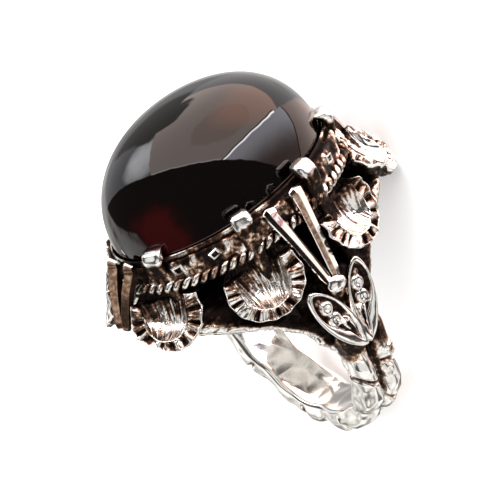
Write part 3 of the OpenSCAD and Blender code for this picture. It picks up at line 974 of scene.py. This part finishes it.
def cabochon():
    """The stone: a full oval dome, smooth all over."""
    rows, cols = 90, 200
    t = angles_round(cols)
    e = np.linspace(0, math.pi / 2, rows, endpoint=False)
    s = np.cos(e) ** (2 / DOME_N)
    z = GIRDLE_Z + DOME_H * np.sin(e) ** (2 / DOME_N)
    low = np.array([(0.95, STONE_LOW_Z), (0.99, STONE_LOW_Z + 0.1), (1.0, STONE_LOW_Z + 0.3)])
    s = np.append(low[:, 0], s)[:, None]
    z = np.append(low[:, 1], z)[:, None]
    place = np.stack([STONE_A * s * np.cos(t), STONE_B * s * np.sin(t), z + 0 * t], -1)
    ends = [(0, 0, STONE_LOW_Z), (0, 0, GIRDLE_Z + DOME_H)]
    add_piece("cabochon", np.vstack([place.reshape(-1, 3), ends]), spindle_faces(len(s), cols), QUARTZ,
              node="smoky_quartz")


def build_ring():
    shank()
    base_plate()
    for flip_x, x_word in ((1, "right"), (-1, "left")):
        shoulder_core(f"shoulder_core_{x_word}", flip_x)
        foot_bead(f"foot_bead_{x_word}", flip_x)
        for flip_y, y_word in ((1, "back"), (-1, "front")):
            leaf(f"leaf_{x_word}_{y_word}", flip_x, flip_y)
    for name, row in BARS.items():
        v_bars(name, *row)
    bezel()
    rope()
    tiles()
    both_sides = [(x, y * flip) for x, y in PRONGS for flip in (1, -1)]
    for number, (x, y) in enumerate(both_sides, 1):
        prong(f"prong_{number}", x, y)
    for number, row in enumerate(PETALS, 1):
        petal(f"petal_{number}", *row)
    cabochon()


def floor():
    """A plain pale surface that the ring lies on."""
    mesh = bpy.data.meshes.new("floor")
    half = 3.0
    corners = [(-half, -half, 0), (half, -half, 0), (half, half, 0), (-half, half, 0)]
    mesh.from_pydata(corners, [], [(0, 1, 2, 3)])
    material = bpy.data.materials.new("floor")
    material.use_nodes = True
    shader = material.node_tree.nodes["Principled BSDF"]
    shader.inputs["Base Color"].default_value = (0.9, 0.9, 0.9, 1)
    shader.inputs["Roughness"].default_value = 0.7
    mesh.materials.append(material)
    plane = bpy.data.objects.new("floor", mesh)
    bpy.context.scene.collection.objects.link(plane)
    # The stone and the silver mirror the tent alone
    plane.visible_glossy = False


# The photograph's camera in the ring's own axes: place in millimetres, its right and up, and its lens
CAMERA_AT = (245.37, -104.51, 135.53)
CAMERA_RIGHT = (0.538, 0.713, -0.449)
CAMERA_UP = (-0.152, 0.606, 0.781)
CAMERA_LENS = 264.7
CAMERA_SENSOR = 36.0


def camera():
    """The camera, and its right, up and back in the frame."""
    data = bpy.data.cameras.new("camera")
    data.sensor_width = CAMERA_SENSOR
    data.lens = CAMERA_LENS
    data.clip_start = 0.01
    eye = bpy.data.objects.new("camera", data)
    bpy.context.scene.collection.objects.link(eye)
    right = unit(TURN @ np.array(CAMERA_RIGHT))
    up = TURN @ np.array(CAMERA_UP)
    up = unit(up - np.dot(up, right) * right)
    back = np.cross(right, up)
    place = Matrix.Identity(4)
    for k in range(3):
        place[k][0], place[k][1], place[k][2] = right[k], up[k], back[k]
    place.translation = Vector(to_row(CAMERA_AT))
    eye.matrix_world = place
    bpy.context.scene.camera = eye
    return right, up, back


# The tent as the stone mirrors it: its panels' colours, each on the side of one or more planes. A plane is
# the way it faces in the camera's axes (right, up, back), where it cuts, and how soft its edge is. Later
# panels lie over earlier ones.
TENT = (2.4, 2.0, 1.85)
OVAL = (0.043, 0.919, 0.392)
CREASE = (0.764, -0.645, 0.028)
BEHIND = (0.037, -0.184, -0.982)
HORIZON = (0.449, -0.781, -0.434)
LEFT = (-0.544, 0.727, -0.419)
LEFT_LOW = (-0.711, -0.548, -0.441)
PATCH = (-0.62, 0.6, -0.505)
PATCH_LOW = (0.715, 0.614, -0.334)
FRINGE = (0.139, 1.0, -0.384)
FRINGE_END = (-0.139, -1.0, 0.384)
STREAK = (-0.096, 0.379, -0.921)
STREAK_END = (0.096, -0.379, 0.921)
STREAK_TONE = (0.25, 0.24, 0.26)
PATCH_TONE = (0.36, 0.34, 0.33)
PANELS = [
    ("warm", (3.5, 2.3, 1.9), [((0.4, 0.91, -0.1), 0.9, 0.1)]),
    ("oval", (2.1, 1.6, 1.45), [(OVAL, 0.928, 0.01)]),
    ("oval_end", (3.4, 2.05, 1.65), [(OVAL, 0.928, 0.01), ((0.3, 0.95, 0.0), 0.9, 0.1)]),
    ("fringe", (4.2, 3.9, 3.9), [(FRINGE, 0.112, 0.006), (FRINGE_END, -0.135, 0.012)]),
    ("top_rim", (1.12, 1.08, 1.08), [((0.384, -0.447, -0.808), 0.041, 0.02)]),
    ("top_edge", (0.4, 0.38, 0.37), [((0, 0, -1), 0.92, 0.06)]),
    ("streak", STREAK_TONE, [(STREAK, 0.982, 0.002), (STREAK_END, -0.99, 0.003), ((-1, 0, 0), 0.1, 0.06)]),
    ("left", (0.8, 0.8, 0.84), [(LEFT, 0.979, 0.004)]),
    ("left_low", (0.8, 0.8, 0.84), [(LEFT_LOW, 0.118, 0.012)]),
    ("left_glare", (4.8, 4.8, 5.0), [(LEFT_LOW, 0.118, 0.012), ((-0.79, 0.6, 0.06), 0.945, 0.05)]),
    ("left_edge", (0.6, 0.58, 0.56), [((-1, 0, 0), 0.1, 0.1), ((0, 0, -1), 0.8, 0.1)]),
    ("left_patch", PATCH_TONE, [(LEFT, 0.979, 0.004), (PATCH_LOW, 0.0, 0.03)]),
    ("left_patch_low", PATCH_TONE, [(LEFT_LOW, 0.118, 0.012), (PATCH, 0.93, 0.02), (PATCH_LOW, 0.0, 0.03)]),
    ("crease_shadow", (0.1, 0.08, 0.08), [(CREASE, -0.03, 0.01), ((0, 0, 1), -0.05, 0.02)]),
    ("crease", (16.0, 16.0, 16.5), [(CREASE, -0.005, 0.01), ((0, 0, 1), -0.05, 0.02)]),
    ("right", (3.0, 2.9, 3.15), [(CREASE, 0.025, 0.012)]),
    ("right_far", (0.6, 0.42, 0.38), [(CREASE, 0.34, 0.26)]),
    ("right_line", (0.3, 0.03, 0.02), [(BEHIND, 0.125, 0.01), (CREASE, 0.03, 0.015)]),
    ("right_back", (2.1, 1.65, 1.52), [(BEHIND, 0.15, 0.01), (CREASE, 0.03, 0.015)]),
    ("right_end", (1.0, 0.75, 0.62), [(BEHIND, 0.15, 0.01), ((1, 0, 0), 0.88, 0.18)]),
    ("room", (0.06, 0.055, 0.05), [(FRINGE_END, -0.115, 0.012)]),
    ("table_behind", "mottled", [(HORIZON, 0.0, 0.03), ((0, 0, -1), -0.12, 0.06), ((-1, 0, 0), -0.3, 0.2)]),
    ("table", "mottled", [(HORIZON, 0.46, 0.06)]),
]
# The table's mottled tones, from dark to light
MOTTLE = [(0.38, (0.13, 0.125, 0.11)), (0.48, (0.78, 0.76, 0.73)), (0.6, (1.2, 1.18, 1.14))]
# What the floor is lit by, and what shows past it
DAYLIGHT = (1.9, 1.9, 1.91)
BACKDROP = (0.98, 0.98, 0.98)
# How much the panels' edges wave, and the size of the waves and of the mottling, for a room of radius 1
WAVE = 0.05
WAVE_SIZE = 0.2
MOTTLE_SIZE = 0.4

# Softboxes, in metres: how far they stand from the middle of the ring, and for each the way to it, its width
# and its power. The ways to those by the camera are in the camera's axes.
LIGHT_DISTANCE = 0.6
LIGHT_MIDDLE = (0, 0, 0.012)
TOP_LIGHT = ("top_light", (0.0, 0.1, 1.0), 0.6, 0.8)
CAMERA_LIGHTS = [
    ("camera_light", (0.3, -0.5, 0.8), 0.7, 1.1),
    ("side_light", (-0.86, -0.08, 0.5), 0.4, 0.4),
]


def blend_colours(tree, share, low, high):
    """A colour between low and high, each a colour or another node's output."""
    mix = tree.nodes.new("ShaderNodeMix")
    mix.data_type = "RGBA"
    tree.links.new(share, mix.inputs["Factor"])
    for socket, value in ((mix.inputs[6], low), (mix.inputs[7], high)):
        if isinstance(value, tuple):
            socket.default_value = (*value, 1)
        else:
            tree.links.new(value, socket)
    return mix.outputs[2]


def wavy(tree, place):
    """The room's directions with a little waviness, so that no edge in it is ruled."""
    cloth = add_noise(tree, place, Scale=1 / WAVE_SIZE, Detail=1.0, Roughness=0.5)
    shift = add_maths(tree, "MULTIPLY_ADD", cloth["Color"], (WAVE,) * 3, (-WAVE / 2,) * 3, vector=True)
    return add_maths(tree, "ADD", place, shift["Vector"], vector=True)["Vector"]


def mottle(tree, place):
    """The table's uneven brightness, which hammered silver breaks into soft grey facets."""
    cloth = add_noise(tree, place, Scale=1 / MOTTLE_SIZE, Detail=2.0, Roughness=0.5)
    return add_ramp(tree, cloth["Fac"], MOTTLE)


def panel_share(tree, towards, planes, axes):
    """1 in the part of the room that all of a panel's planes face, and 0 elsewhere."""
    share = None
    for facing, edge, blur in planes:
        normal = axes @ np.array(facing)
        side = add_maths(tree, "DOT_PRODUCT", towards, normal, vector=True)["Value"]
        side = add_range(tree, side, edge - blur, edge + blur, smooth=True)
        share = side if share is None else add_maths(tree, "MULTIPLY", share, side)["Value"]
    return share


def studio(axes):
    """A white tent that is open and dark where the camera stands, as its mirror image in the stone shows."""
    world = bpy.data.worlds.new("studio")
    world.use_nodes = True
    tree = world.node_tree
    place = tree.nodes.new("ShaderNodeTexCoord").outputs["Generated"]
    towards = wavy(tree, place)
    table = mottle(tree, place)
    colour = TENT
    for _, tone, planes in PANELS:
        share = panel_share(tree, towards, planes, axes)
        colour = blend_colours(tree, share, colour, table if tone == "mottled" else tone)
    seen = tree.nodes.new("ShaderNodeLightPath").outputs
    colour = blend_colours(tree, seen["Is Glossy Ray"], DAYLIGHT, colour)
    colour = blend_colours(tree, seen["Is Camera Ray"], colour, BACKDROP)
    tree.links.new(colour, tree.nodes["Background"].inputs["Color"])
    bpy.context.scene.world = world
    bpy.context.scene.view_settings.view_transform = "Standard"


def softbox(name, direction, across, power):
    """A square light in a direction from the ring, facing it."""
    data = bpy.data.lights.new(name, "AREA")
    data.size = across
    data.energy = power
    light = bpy.data.objects.new(name, data)
    bpy.context.scene.collection.objects.link(light)
    direction = Vector(direction).normalized()
    light.location = Vector(LIGHT_MIDDLE) + direction * LIGHT_DISTANCE
    light.rotation_euler = direction.to_track_quat("Z", "Y").to_euler()
    return light


def softboxes(axes):
    """One light over the ring that nothing mirrors, and two by the camera that light the silver alone."""
    softbox(*TOP_LIGHT).visible_glossy = False
    metal = bpy.data.collections.new("silver_pieces")
    for piece in bpy.data.objects:
        if piece.type == "MESH" and piece.name not in ("floor", "cabochon"):
            metal.objects.link(piece)
    for name, direction, across, power in CAMERA_LIGHTS:
        light = softbox(name, axes @ np.array(direction), across, power)
        light.light_linking.receiver_collection = metal


build_ring()
floor()
camera_axes = np.array(camera()).T
studio(camera_axes)
softboxes(camera_axes)
